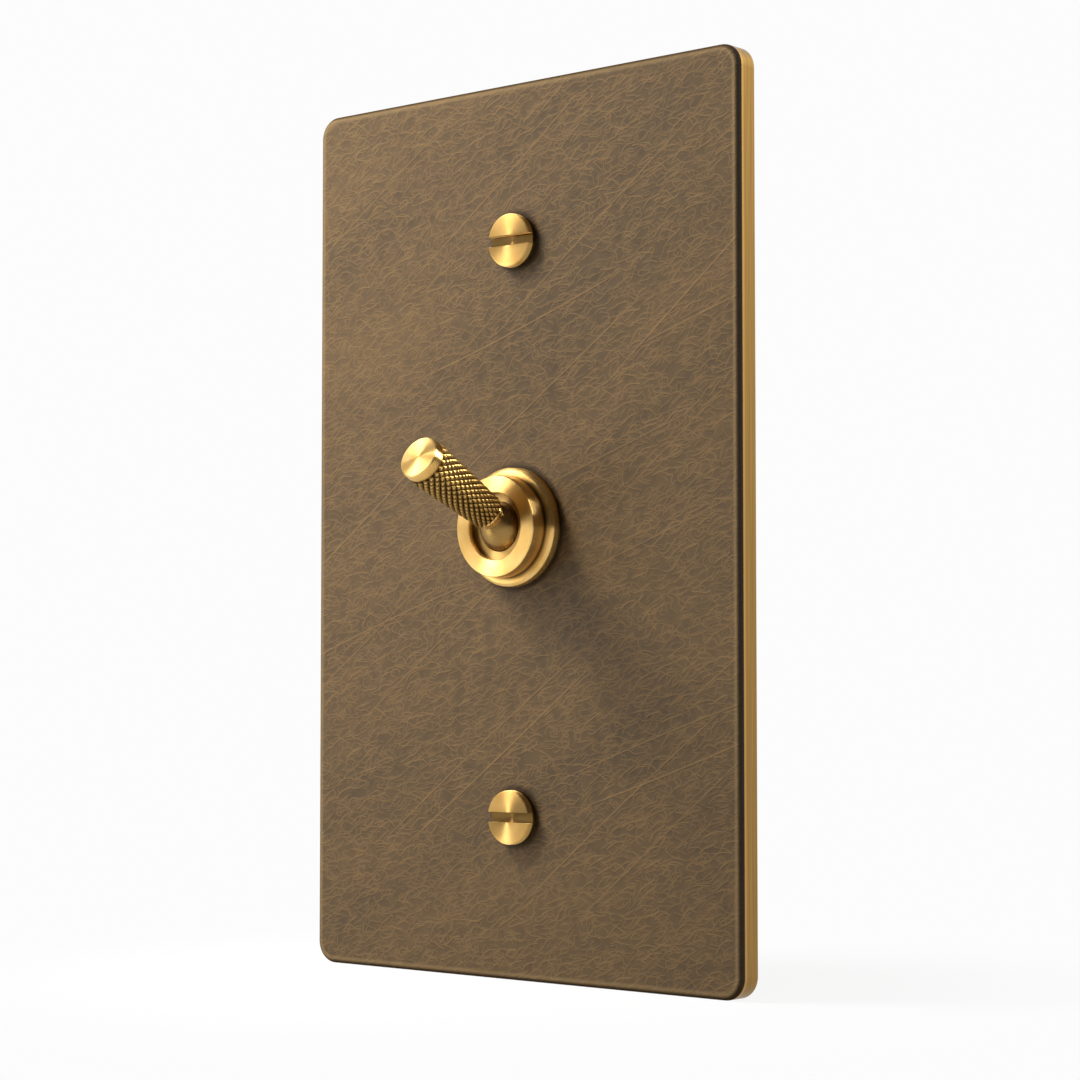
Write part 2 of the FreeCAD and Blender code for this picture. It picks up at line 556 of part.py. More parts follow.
def terminals():
    """Bent strips through the case floor, each with a clamp washer and a screw behind it."""
    inner, outer = f"({RISER} - terminal_sheet)", RISER
    end = f"({inner} - terminal_length + terminal_sheet)"
    tips = []
    for name, side in (("upper", ""), ("lower", "-")):
        strip = Piece(f"{name}_terminal")
        strip.extrude("YZ_Plane", [(f"{side}{end}", TERMINAL_FRONT), (f"{side}{outer}", TERMINAL_FRONT),
                                   (f"{side}{outer}", TERMINAL_BACK), (f"{side}{end}", TERMINAL_BACK),
                                   (f"{side}{end}", CASE_BACK), (f"{side}{inner}", CASE_BACK),
                                   (f"{side}{inner}", f"{TERMINAL_FRONT} - terminal_sheet"),
                                   (f"{side}{end}", f"{TERMINAL_FRONT} - terminal_sheet")],
                      "-terminal_width / 2", "terminal_width")
        strip.extrude("XY_Plane", ("0", f"{side}{TERMINAL_SCREW}", "terminal_diameter"), TERMINAL_BACK,
                      "terminal_sheet", cut=True)
        nodes.append(strip.body)
        tip = Piece(f"fixed_tip_{name}")
        tip.extrude("XY_Plane", ("0", f"{side}{TIP_ARM}", "fixed_tip"), TERMINAL_FRONT, "fixed_tip_height")
        tips.append(tip)
    nodes.append(group("fixed_tips", tips))

    common = Piece("common_terminal")
    lug_in, lug_out, crown = "lug_gap / 2", LUG_OUTSIDE, f"{ROCKER} + lug_rise"
    common.extrude("XZ_Plane", [(f"-{lug_out}", FLOOR), (lug_in, FLOOR), (lug_in, CASE_BACK),
                                ("-terminal_length / 2", CASE_BACK), ("-terminal_length / 2", TERMINAL_BACK),
                                (lug_out, TERMINAL_BACK), (lug_out, crown), (lug_in, crown),
                                (lug_in, f"{FLOOR} + terminal_sheet"),
                                (f"-{lug_in}", f"{FLOOR} + terminal_sheet"),
                                (f"-{lug_in}", crown), (f"-{lug_out}", crown)], "-lug_width / 2", "lug_width")
    common.extrude("YZ_Plane", ("0", ROCKER, "rocker_pin"), f"-{lug_out}", f"2 * {lug_out}", cut=True)
    common.extrude("XY_Plane", ("0", "0", "terminal_diameter"), TERMINAL_BACK, "terminal_sheet", cut=True)
    nodes.append(common.body)

    washers, screws = [], []
    clamp_back = f"({TERMINAL_BACK} - clamp_height)"
    for name, height in (("common", "0"), ("upper", TERMINAL_SCREW), ("lower", f"-{TERMINAL_SCREW}")):
        plate = block("clamp_size", f"{height} - lug_width / 2", f"{height} + lug_width / 2")
        washers.append(rear_washer(f"clamp_washer_{name}", height, plate, "terminal_diameter", clamp_back,
                                   "clamp_height"))
        screws.append(rear_screw(f"terminal_screw_{name}", height, "terminal_diameter", "terminal_head",
                                 "terminal_head_height", clamp_back,
                                 "clamp_height + terminal_sheet + terminal_bite"))
    nodes.extend((group("clamp_washers", washers), group("terminal_screws", screws)))


def earth():
    """Screw and washer on the frame's lower tab."""
    height, back = f"-{EARTH_HEIGHT}", f"({FRAME_BACK} - earth_washer_height)"
    washer = rear_washer("earth_washer", height, ("0", height, "earth_washer"), "earth_diameter", back,
                         "earth_washer_height")
    screw = rear_screw("earth_screw", height, "earth_diameter", "earth_head", "earth_head_height", back,
                       "earth_washer_height + frame_sheet")
    nodes.extend((washer.body, screw.body))


for build in (face_plate, box_screws, collar, bush, lock_washer, lever, grip, frame, case, rocker, terminals,
              earth):
    build()

doc.recompute()
for item in doc.Objects:
    if {"Invalid", "Error"} & set(item.State):
        raise RuntimeError(f"{item.Name} did not compute: {item.State}")
os.makedirs("parts", exist_ok=True)
for node in nodes:
    if node.Shape.isNull() or not node.Shape.isValid():
        raise RuntimeError(f"{node.Label} has no valid shape")
    node.Shape.exportStep(f"parts/{node.Label}.step")
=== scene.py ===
import json
import math
from functools import reduce

import bmesh
import bpy
from mathutils import Matrix, Vector


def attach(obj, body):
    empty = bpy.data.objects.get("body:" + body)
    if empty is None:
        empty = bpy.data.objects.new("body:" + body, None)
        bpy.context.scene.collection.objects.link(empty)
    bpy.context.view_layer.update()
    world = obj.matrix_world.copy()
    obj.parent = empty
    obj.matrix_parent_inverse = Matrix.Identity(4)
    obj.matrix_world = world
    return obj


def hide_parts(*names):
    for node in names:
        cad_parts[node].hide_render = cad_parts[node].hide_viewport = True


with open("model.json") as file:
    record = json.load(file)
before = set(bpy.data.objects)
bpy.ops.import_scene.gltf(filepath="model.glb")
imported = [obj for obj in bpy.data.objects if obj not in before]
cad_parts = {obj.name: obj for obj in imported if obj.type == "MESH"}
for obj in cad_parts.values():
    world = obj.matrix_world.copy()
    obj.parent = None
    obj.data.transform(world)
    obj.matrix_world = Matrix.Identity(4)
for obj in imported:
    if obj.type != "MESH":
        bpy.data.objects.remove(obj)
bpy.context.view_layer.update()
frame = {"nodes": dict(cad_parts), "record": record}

solids = frame["nodes"]

# Sizes that pieces and finishes share, in millimetres; fronts are heights over the wall.
PLATE_HALF, PLATE_CORNER, PLATE_FRONT = (40.0, 65.0), 3.2, 4.0
SCREW_HEIGHT, SCREW_RADIUS = 41.67, 3.9
WASHER_RADIUS, WASHER_FRONT = 8.6, 5.9
NUT_RADIUS, NUT_MOUTH, NUT_FRONT = 7.3, 4.85, 8.6
COLLAR_BORE = 6.1
PIVOT_OUT, DOLLY_LEAN_DEG = 6.2, 26

# Pieces are drawn in millimetres with x right, y up and z out of the wall.
WALL = Matrix.Scale(0.001, 4) @ Matrix.Rotation(math.radians(90), 4, "X")
DOLLY = WALL @ Matrix.Translation((0, 0, PIVOT_OUT)) @ Matrix.Rotation(math.radians(-DOLLY_LEAN_DEG), 4, "X")


def linear(code):
    """An sRGB hex colour as the linear values that shaders take."""
    shares = [int(code[at:at + 2], 16) / 255 for at in (1, 3, 5)]
    shares = [share / 12.92 if share < 0.04045 else ((share + 0.055) / 1.055) ** 2.4 for share in shares]
    return shares + [1.0]


def wire(tree, node, sockets):
    """Give each socket of a node a value, or link it to the output of another node."""
    for socket, value in sockets.items():
        if isinstance(value, bpy.types.Node):
            value = value.outputs[0]
        if isinstance(value, bpy.types.NodeSocket):
            tree.links.new(value, node.inputs[socket])
        else:
            node.inputs[socket].default_value = value


def add(tree, kind, sockets=None, stops=None, **settings):
    """Add a shader node with its settings and links; a colour ramp's stops are places with their colours."""
    node = tree.nodes.new("ShaderNode" + kind)
    for name, setting in settings.items():
        setattr(node, name, setting)
    if stops:
        for stop, (place, code) in zip(node.color_ramp.elements, stops.items()):
            stop.position, stop.color = place, linear(code)
    wire(tree, node, sockets or {})
    return node


def finish(name):
    """A new material with its tree and its shader."""
    material = bpy.data.materials.new(name)
    material.use_nodes = True
    return material, material.node_tree, material.node_tree.nodes["Principled BSDF"]


def curls(tree, face):
    """Curled rub marks on the face: level lines of a smooth field in broken lengths, a quarter of a
    millimetre wide whatever its slope. Each comes narrow for its colour and wide for the swell beside it."""
    hairs, swells = [], []
    step = 0.02
    for angle, length, width, offset, levels, weight in ((22, 2.3, 1.5, (3.1, 7.7, 0), 2.6, 0.62),
                                                         (34, 2.9, 1.8, (21.3, 2.9, 0), 3.1, 0.58)):
        field = []
        for beside in ((0, 0, 0), (step, 0, 0), (0, step, 0)):
            near = add(tree, "VectorMath", {0: face, 1: beside}, operation="ADD")
            lie = add(tree, "Mapping", {"Vector": near, "Location": offset, "Scale": (length, width, 1),
                                        "Rotation": (0, 0, math.radians(angle))}, vector_type="TEXTURE")
            field.append(add(tree, "TexNoise", {"Vector": lie, "Scale": 1.0, "Detail": 0.0},
                             noise_dimensions="2D"))
        rise = [add(tree, "Math", {0: moved, 1: field[0]}, operation="SUBTRACT") for moved in field[1:]]
        rise = add(tree, "CombineXYZ", {0: rise[0], 1: rise[1]})
        rise = add(tree, "VectorMath", {0: rise}, operation="LENGTH").outputs["Value"]
        rise = add(tree, "Math", {0: rise, 1: levels / step, 2: 1e-4}, operation="MULTIPLY_ADD")
        level = add(tree, "Math", {0: field[0], 1: levels}, operation="MULTIPLY")
        away = add(tree, "Math", {0: level, 1: 0.5}, operation="PINGPONG")
        away = add(tree, "Math", {0: away, 1: rise}, operation="DIVIDE")
        breaks = add(tree, "TexNoise", {"Vector": face, "Scale": 0.35 + 0.05 * levels, "Detail": 1.0},
                     noise_dimensions="2D")
        breaks = add(tree, "MapRange", {"Value": breaks, "From Min": 0.3, "From Max": 0.58, "To Max": weight},
                     interpolation_type="SMOOTHSTEP")
        steep = add(tree, "MapRange", {"Value": rise, "From Min": 0.25, "From Max": 0.6},
                    interpolation_type="SMOOTHSTEP")
        breaks = add(tree, "Math", {0: breaks, 1: steep}, operation="MULTIPLY")
        for marks, reach in ((hairs, 0.13), (swells, 0.28)):
            line = add(tree, "MapRange", {"Value": away, "From Min": 0.0, "From Max": reach, "To Min": 1.0,
                                          "To Max": 0.0}, interpolation_type="SMOOTHSTEP")
            marks.append(add(tree, "Math", {0: line, 1: breaks}, operation="MULTIPLY"))
    return hairs, swells


def strokes(tree, face):
    """Hairs of about 4 mm, one to a cell, that squirm a little, and in the last two layers straight scratches
    of 30 to 50 mm at the slant of the rubbing hand; narrow and wide as the curls are."""
    hairs, swells = [], []
    for angle, length, width, offset, weight, wide, tilt, curl, squirm in (
            (16, 3.8, 1.4, (13.1, 17.7, 0), 0.9, 0.13, 0.3, 0.18, 0.16),
            (28, 4.2, 1.5, (29.3, 12.9, 0), 1.0, 0.13, 0.3, 0.18, 0.16),
            (-14, 3.6, 2.0, (7.3, 51.9, 0), 0.8, 0.13, 0.3, 0.22, 0.18),
            (37, 52.0, 11.0, (5.0, 3.3, 0), 1.45, 0.1, 0.05, 0.0008, 0.0),
            (20, 44.0, 17.0, (41.0, 9.7, 0), 1.45, 0.1, 0.08, 0.0015, 0.0)):
        size = (length, width, 1)
        lie = add(tree, "Mapping", {"Vector": face, "Location": offset, "Scale": size,
                                    "Rotation": (0, 0, math.radians(angle))}, vector_type="TEXTURE")
        cells = add(tree, "TexVoronoi", {"Vector": lie, "Scale": 1.0}, voronoi_dimensions="2D")
        local = add(tree, "VectorMath", {0: lie, 1: cells.outputs["Position"]}, operation="SUBTRACT")
        local = add(tree, "VectorMath", {0: local, 1: size}, operation="MULTIPLY")
        local = add(tree, "SeparateXYZ", {0: local})
        chance = add(tree, "SeparateColor", {0: cells.outputs["Color"]})
        slope = add(tree, "MapRange", {"Value": chance.outputs[0], "To Min": -tilt, "To Max": tilt})
        bow = add(tree, "MapRange", {"Value": chance.outputs[1], "To Min": -curl, "To Max": curl})
        lean = add(tree, "Math", {0: local.outputs[0], 1: bow, 2: slope}, operation="MULTIPLY_ADD")
        course = add(tree, "Math", {0: local.outputs[0], 1: lean}, operation="MULTIPLY")
        if squirm:
            phase = add(tree, "Math", {0: chance.outputs[2], 1: 9.0}, operation="MULTIPLY")
            phase = add(tree, "Math", {0: local.outputs[0], 1: 1.7, 2: phase}, operation="MULTIPLY_ADD")
            swing = add(tree, "Math", {0: phase}, operation="SINE")
            course = add(tree, "Math", {0: swing, 1: squirm, 2: course}, operation="MULTIPLY_ADD")
        away = add(tree, "Math", {0: local.outputs[1], 1: course}, operation="SUBTRACT")
        away = add(tree, "Math", {0: away}, operation="ABSOLUTE")
        along = add(tree, "Math", {0: local.outputs[0]}, operation="ABSOLUTE")
        ends = add(tree, "MapRange", {"Value": along, "From Min": 0.3 * length, "From Max": 0.55 * length,
                                      "To Min": 1.0, "To Max": 0.0}, interpolation_type="SMOOTHSTEP")
        depth = add(tree, "MapRange", {"Value": chance.outputs[2], "To Min": 0.35, "To Max": 1.0})
        depth = add(tree, "Math", {0: depth, 1: ends}, operation="MULTIPLY")
        for marks, reach in ((hairs, wide), (swells, 0.3)):
            line = add(tree, "MapRange", {"Value": away, "From Min": 0.0, "From Max": reach, "To Min": weight,
                                          "To Max": 0.0}, interpolation_type="SMOOTHSTEP")
            marks.append(add(tree, "Math", {0: line, 1: depth}, operation="MULTIPLY"))
    return hairs, swells


def bare_plate_brass(tree, mm, depth, reached):
    """Colour of the plate's bare metal, from a place, its depth and how far out it lies, in millimetres."""
    # Sides draw-filed along the edge, with lines a quarter of a millimetre apart, and a painted highlight
    # along the front arris.
    file_mm = (20.0, 0.25, 20.0)
    grain = add(tree, "VectorMath", {0: mm, 1: file_mm}, operation="DIVIDE")
    filed = add(tree, "TexNoise", {"Vector": grain, "Scale": 1.0, "Detail": 3.0})
    sides = add(tree, "ValToRGB", {0: filed}, stops={0.25: "#7C5E2D", 0.75: "#98763C"})
    # Painted highlight: a lighter line along the front arris of the sides.
    painted_arris_highlight = add(tree, "MapRange", {"Value": depth, "From Min": -2.95, "From Max": -2.6,
                                   "To Min": 0.8, "To Max": 0.0}, interpolation_type="SMOOTHSTEP")
    sides = add(tree, "Mix", {0: painted_arris_highlight, 6: sides, 7: linear("#AC8445")}, data_type="RGBA")
    # Back brushed upright after milling, with lines a third of a millimetre apart.
    brush_mm = (1 / 3, 1 / 3, 100 / 3)
    grain = add(tree, "VectorMath", {0: mm, 1: brush_mm}, operation="DIVIDE")
    brushed = add(tree, "TexNoise", {"Vector": grain, "Scale": 1.0, "Detail": 3.0})
    back = add(tree, "ValToRGB", {0: brushed}, stops={0.25: "#B58F4A", 0.75: "#CFA962"})
    edge = add(tree, "MapRange", {"Value": reached, "From Min": 3.0, "From Max": 3.15})
    return add(tree, "Mix", {0: edge, 6: back, 7: sides.outputs[2]}, data_type="RGBA")


def patinated_plate_brass():
    """Brass plate, oxidised brown on its face and rubbed by hand: a dull skin full of fine curled
    tan hairs where the rubbing reached the metal, with bare brass on the filed sides and brushed back."""
    material, tree, shader = finish("patinated_brass_hand_rubbed")
    spot = add(tree, "TexCoord").outputs["Object"]
    mm = add(tree, "VectorMath", {0: spot, 3: 1000.0}, operation="SCALE")
    axes = add(tree, "SeparateXYZ", {0: mm})
    face = add(tree, "CombineXYZ", {0: axes.outputs[0], 1: axes.outputs[2]})

    def stronger(mark, other):
        return add(tree, "Math", {0: mark, 1: other}, operation="MAXIMUM")

    hair, swell = (reduce(stronger, curled + straight)
                   for curled, straight in zip(curls(tree, face), strokes(tree, face)))
    # Broad slanting clouds left by the oxidising bath, and small blots in them.
    cloud_mm, blot_mm = (60, 15, 1), 2.0
    lie = add(tree, "Mapping", {"Vector": face, "Rotation": (0, 0, math.radians(28)), "Scale": cloud_mm},
              vector_type="TEXTURE")
    clouds = add(tree, "TexNoise", {"Vector": lie, "Scale": 1.0, "Detail": 4.0}, noise_dimensions="2D")
    blots = add(tree, "TexNoise", {"Vector": face, "Scale": 1 / blot_mm, "Detail": 4.0},
                noise_dimensions="2D")
    clouds = add(tree, "Mix", {0: 0.45, 2: clouds, 3: blots}, data_type="FLOAT")
    skin = add(tree, "ValToRGB", {0: clouds}, stops={0.3: "#564631", 0.7: "#70593B"})
    hair_share = add(tree, "Math", {0: hair, 1: 0.42}, operation="MULTIPLY", use_clamp=True)
    skin = add(tree, "Mix", {0: hair_share, 6: skin, 7: linear("#AE8650")}, data_type="RGBA")
    # How far out a spot lies towards the outline of the plate, counted from the centres of its corners.
    reached = add(tree, "VectorMath", {0: face}, operation="ABSOLUTE")
    centres = [half - PLATE_CORNER for half in PLATE_HALF] + [0]
    reached = add(tree, "VectorMath", {0: reached, 1: centres}, operation="SUBTRACT")
    reached = add(tree, "VectorMath", {0: reached, 1: (0, 0, 0)}, operation="MAXIMUM")
    reached = add(tree, "VectorMath", {0: reached}, operation="LENGTH").outputs["Value"]
    # A lighter line where the round-over starts: partly rubbed metal and partly a painted highlight of the
    # edge.
    edge_rub_and_highlight = add(tree, "MapRange", {"Value": reached, "From Min": 1.9, "From Max": 2.4, "To Max": 0.45},
              interpolation_type="SMOOTHSTEP")
    skin = add(tree, "Mix", {0: edge_rub_and_highlight, 6: skin.outputs[2], 7: linear("#9C8055")}, data_type="RGBA")
    # Painted shade: a dark line along the round-over, all round the outline.
    painted_roundover_shade = add(tree, "MapRange", {"Value": reached, "From Min": 2.5, "From Max": 3.0, "To Max": 0.9},
               interpolation_type="SMOOTHSTEP")
    skin = add(tree, "Mix", {0: painted_roundover_shade, 6: skin.outputs[2], 7: linear("#36240D")}, data_type="RGBA")
    # Painted contact shade: darker for 1 mm round the collar and the screws.
    contact_shade_rings = []
    for height, radius in ((0, WASHER_RADIUS), (SCREW_HEIGHT, SCREW_RADIUS), (-SCREW_HEIGHT, SCREW_RADIUS)):
        rim = add(tree, "VectorMath", {0: face, 1: (0, height, 0)}, operation="DISTANCE").outputs["Value"]
        contact_shade_rings.append(add(tree, "Math", {0: rim, 1: radius}, operation="SUBTRACT"))
    rim = reduce(lambda one, other: add(tree, "Math", {0: one, 1: other}, operation="MINIMUM"), contact_shade_rings)
    rim = add(tree, "MapRange", {"Value": rim, "From Min": 0.1, "From Max": 1.1, "To Min": 0.75,
                                 "To Max": 0.0}, interpolation_type="SMOOTHSTEP")
    skin = add(tree, "Mix", {0: rim, 6: skin.outputs[2], 7: linear("#281A08")}, data_type="RGBA")
    # Behind the round-over the metal is bare.
    bare = bare_plate_brass(tree, mm, axes.outputs[1], reached)
    side = add(tree, "MapRange", {"Value": axes.outputs[1], "From Min": -3.3, "From Max": -3.15},
               interpolation_type="SMOOTHSTEP")
    colour = add(tree, "Mix", {0: side, 6: skin.outputs[2], 7: bare.outputs[2]}, data_type="RGBA")
    metal = add(tree, "MapRange", {"Value": side, "To Min": 0.15, "To Max": 1.0})
    dull = add(tree, "MapRange", {"Value": side, "To Min": 0.6, "To Max": 0.36})
    # The painted shade line of the round-over is dead matt too, so it stays dark against the light.
    cover = add(tree, "Math", {0: 1.0, 1: side}, operation="SUBTRACT")
    matt_painted_shade = add(tree, "Math", {0: painted_roundover_shade, 1: cover}, operation="MULTIPLY")
    dull = add(tree, "Math", {0: matt_painted_shade, 1: 0.44, 2: dull}, operation="MULTIPLY_ADD")
    height = add(tree, "Math", {0: swell, 1: cover}, operation="MULTIPLY")
    bump = add(tree, "Bump", {"Height": height, "Strength": 1.0, "Distance": 0.00002})
    wire(tree, shader, {"Base Color": colour.outputs[2], "Metallic": metal, "Roughness": dull, "Normal": bump,
                        "Specular IOR Level": 0.2})
    return material


def turned_brass():
    """Brass turned on a lathe and left satin: fine rings round the axis that draw a highlight out
    into spokes, with a little cloudiness from handling."""
    material, tree, shader = finish("satin_turned_brass")
    cloud_mm = 2.38
    spot = add(tree, "TexCoord").outputs["Object"]
    cloud = add(tree, "TexNoise", {"Vector": spot, "Scale": 1000.0 / cloud_mm, "Detail": 3.0})
    colour = add(tree, "ValToRGB", {0: cloud}, stops={0.3: "#DFB264", 0.7: "#EBC27A"})
    # Painted shade: darker brown where a piece marks it, in its recesses and joints and on the ball and bush
    # in the collar's mouth.
    painted_recess_shade = add(tree, "Attribute", attribute_name="painted_recess_shade").outputs["Fac"]
    colour = add(tree, "Mix", {0: painted_recess_shade, 6: colour, 7: linear("#4E3512")}, data_type="RGBA").outputs[2]
    faced = add(tree, "Attribute", attribute_name="faced").outputs["Fac"]
    dull = add(tree, "MapRange", {"Value": faced, "From Min": 0.6, "From Max": 0.97, "To Min": 0.26,
                                  "To Max": 0.42}, interpolation_type="SMOOTHSTEP")
    # Screws that a driver and a cloth have worn are duller, which broadens the spokes.
    worn = add(tree, "Attribute", attribute_name="worn").outputs["Fac"]
    dull = add(tree, "Math", {0: worn, 1: 0.2, 2: dull}, operation="MULTIPLY_ADD")
    around = add(tree, "Attribute", attribute_name="around").outputs["Vector"]
    around = add(tree, "VectorTransform", {0: around}, convert_from="OBJECT", convert_to="WORLD")
    wire(tree, shader, {"Base Color": colour, "Metallic": 1.0, "Roughness": dull, "Anisotropic": 1.0,
                        "Anisotropic Rotation": 0.25, "Tangent": around})
    return material


def knurled_brass():
    """Brass with a rolled diamond knurl: brass points, with painted shade browning their flanks and the
    grooves between them.
    """
    material, tree, shader = finish("diamond_knurled_brass")
    painted_recess_shade = add(tree, "Attribute", attribute_name="painted_recess_shade").outputs["Fac"]
    colour = add(tree, "ValToRGB", {0: painted_recess_shade}, stops={0.05: "#EABF70", 1.0: "#3A2408"})
    dull = add(tree, "MapRange", {"Value": painted_recess_shade, "To Min": 0.2, "To Max": 0.5})
    wire(tree, shader, {"Base Color": colour, "Metallic": 1.0, "Roughness": dull})
    return material


def mottled(name, low, high, grain_mm, metallic, rough, bump_mm):
    """A plain finish with a fine mottle: two tones, a grain size and a grain depth in millimetres."""
    material, tree, shader = finish(name)
    spot = add(tree, "TexCoord").outputs["Object"]
    grain = add(tree, "TexNoise", {"Vector": spot, "Scale": 1000.0 / grain_mm, "Detail": 3.0})
    colour = add(tree, "ValToRGB", {0: grain}, stops={0.3: low, 0.7: high})
    dull = add(tree, "MapRange", {"Value": grain, "To Min": rough[0], "To Max": rough[1]})
    bump = add(tree, "Bump", {"Height": grain, "Strength": 0.5, "Distance": bump_mm / 1000})
    wire(tree, shader, {"Base Color": colour, "Metallic": metallic, "Roughness": dull, "Normal": bump})
    return material


finishes = {
    "patinated_brass": patinated_plate_brass(),
    "turned_brass": turned_brass(),
    "knurled_brass": knurled_brass(),
    # Cut from rolled strip: flat yellow, slightly streaked.
    "stamped_brass": mottled("stamped_strip_brass", "#C99B48", "#DDB263", grain_mm=1.5, metallic=1.0,
                             rough=(0.3, 0.42), bump_mm=0.004),
    # Bright zinc: pale grey with a faint crystal mottle.
    "plated_steel": mottled("zinc_plated_steel", "#BDC1C3", "#C9CCCE", grain_mm=1.4, metallic=1.0,
                            rough=(0.26, 0.36), bump_mm=0.002),
    # Ground pin steel and music wire: darker grey, fine scratches.
    "hard_steel": mottled("ground_pin_steel", "#A5A6A8", "#BCBDBF", grain_mm=0.4, metallic=1.0,
                          rough=(0.2, 0.32), bump_mm=0.002),
    # Rolled copper leaf.
    "copper_sheet": mottled("rolled_copper_leaf", "#C27B57", "#D59070", grain_mm=1.2, metallic=1.0,
                            rough=(0.28, 0.4), bump_mm=0.003),
    # Sintered silver contact: white and dull.
    "silver_alloy": mottled("sintered_silver_contact", "#D3D2CD", "#E6E5E0", grain_mm=0.3, metallic=1.0,
                            rough=(0.3, 0.42), bump_mm=0.002),
    # Moulded phenolic: nearly black, low gloss, tiny filler specks.
    "phenolic": mottled("moulded_phenolic", "#1F1B19", "#2C2724", grain_mm=0.5, metallic=0.0,
                        rough=(0.38, 0.5), bump_mm=0.006),
    # Moulded nylon: waxy cream.
    "nylon": mottled("moulded_nylon", "#D9D2BC", "#E4DECB", grain_mm=0.9, metallic=0.0,
                     rough=(0.4, 0.5), bump_mm=0.004),
    # Steel dyed green for the earth screw.
    "green_steel": mottled("green_dyed_steel", "#2B6B3C", "#3C8150", grain_mm=0.6, metallic=0.7,
                           rough=(0.35, 0.45), bump_mm=0.003),
}
for part in frame["record"]["subparts"]:
    solid = solids[part["node"]]
    solid.data.materials.clear()
    solid.data.materials.append(finishes[part["material_slot"]])


def turned(outline, closed=True, steps=96):
    """Turn an outline about the z axis; each point gives radius, height and corner rounding."""
    bm = bmesh.new()
    spots = [bm.verts.new((radius, 0, height)) for radius, height, _ in outline]
    for start, end in zip(spots, spots[1:] + spots[:1] if closed else spots[1:]):
        bm.edges.new((start, end))
    for spot, (_, _, corner) in zip(spots, outline):
        if corner:
            bmesh.ops.bevel(bm, geom=[spot], offset=corner, offset_type="OFFSET", affect="VERTICES",
                            segments=4, profile=0.5, material=-1)
    bmesh.ops.spin(bm, geom=bm.verts[:] + bm.edges[:], cent=(0, 0, 0), axis=(0, 0, 1), dvec=(0, 0, 0),
                   angle=2 * math.pi, steps=steps, use_merge=True)
    return bm


def stand(bm, place, painted_shade=0.0, where=None, worn=0.0):
    """Close a shell, note the way it was turned on the lathe and put it in its place; painted shade and wear
    are shares, all over or, for the painted shade, where a radius and a height say so."""
    if painted_shade:
        painted_recess_shade = bm.verts.layers.float.new("painted_recess_shade")
        for vert in bm.verts:
            if where is None or where(vert.co.xy.length, vert.co.z):
                vert[painted_recess_shade] = painted_shade
    if worn:
        dulled = bm.verts.layers.float.new("worn")
        for vert in bm.verts:
            vert[dulled] = worn
    bmesh.ops.remove_doubles(bm, verts=bm.verts, dist=1e-4)
    bmesh.ops.recalc_face_normals(bm, faces=bm.faces)
    bm.normal_update()
    around = bm.verts.layers.float_vector.new("around")
    faced = bm.verts.layers.float.new("faced")
    turn = place.to_3x3().normalized()
    for vert in bm.verts:
        vert[around] = turn @ Vector((-vert.co.y, vert.co.x, 0)).normalized()
        vert[faced] = abs(vert.normal.z)
    bm.transform(place)
    return bm


def piece(name, shells, slot, body, node, crease=38):
    """Join shells into one piece that stands for a node of the frame."""
    whole = bmesh.new()
    for shell in shells:
        part = bpy.data.meshes.new("shell")
        shell.to_mesh(part)
        shell.free()
        whole.from_mesh(part)
        bpy.data.meshes.remove(part)
    mesh = bpy.data.meshes.new(name)
    whole.to_mesh(mesh)
    whole.free()
    mesh.shade_smooth()
    mesh.set_sharp_from_angle(angle=math.radians(crease))
    mesh.materials.append(finishes[slot])
    thing = bpy.data.objects.new(name, mesh)
    bpy.context.scene.collection.objects.link(thing)
    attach(thing, body)
    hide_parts(node)


# Collar: a lipped ring nut over a wider bevelled washer. Painted shade darkens the corner between them, the
# washer's
# # foot and the inside of the nut.
ring = turned([(COLLAR_BORE, WASHER_FRONT, 0), (NUT_RADIUS, WASHER_FRONT, 0.08), (NUT_RADIUS, 6.7, 0),
               (NUT_RADIUS, NUT_FRONT, 0.2), (NUT_MOUTH, NUT_FRONT, 0.2), (NUT_MOUTH, 8.2, 0),
               (NUT_MOUTH, 7.6, 0.06), (COLLAR_BORE, 7.6, 0)], steps=128)
ring = stand(ring, WALL, 0.85, lambda radius, height: height < 6.5 or height < 8 and radius < 6)
piece("ring_nut", [ring], "turned_brass", "switch_body", "dress_nut")

washer = turned([(COLLAR_BORE, PLATE_FRONT, 0), (WASHER_RADIUS, PLATE_FRONT, 0.06), (WASHER_RADIUS, 4.6, 0),
                 (WASHER_RADIUS, 5.45, 0.12), (8.15, WASHER_FRONT, 0.12), (7.85, WASHER_FRONT, 0),
                 (NUT_RADIUS, WASHER_FRONT, 0), (COLLAR_BORE, WASHER_FRONT, 0)], steps=128)
washer = stand(washer, WALL, 0.85, lambda radius, height: radius < 7.5 or height < 4.3)
piece("bevelled_washer", [washer], "turned_brass", "switch_body", "dress_washer")

# Bush: a barrel with a socket for the ball, flared at its back, and a flange behind the plate.
bush = turned([(3.57, 7.5, 0.1), (3.74, 6.85, 0), (3.8, PIVOT_OUT, 0), (3.8, 2.571, 0), (4.7615, 0.6, 0),
               (8.0, 0.6, 0.1), (8.0, 1.8, 0.1), (6.0, 1.8, 0), (6.0, 7.2, 0), (5.7, 7.5, 0)], steps=128)
# The whole bush gets painted shade, as it sits in the collar's shadow.
piece("ball_bush", [stand(bush, WALL, 0.64)], "turned_brass", "switch_body", "bush")


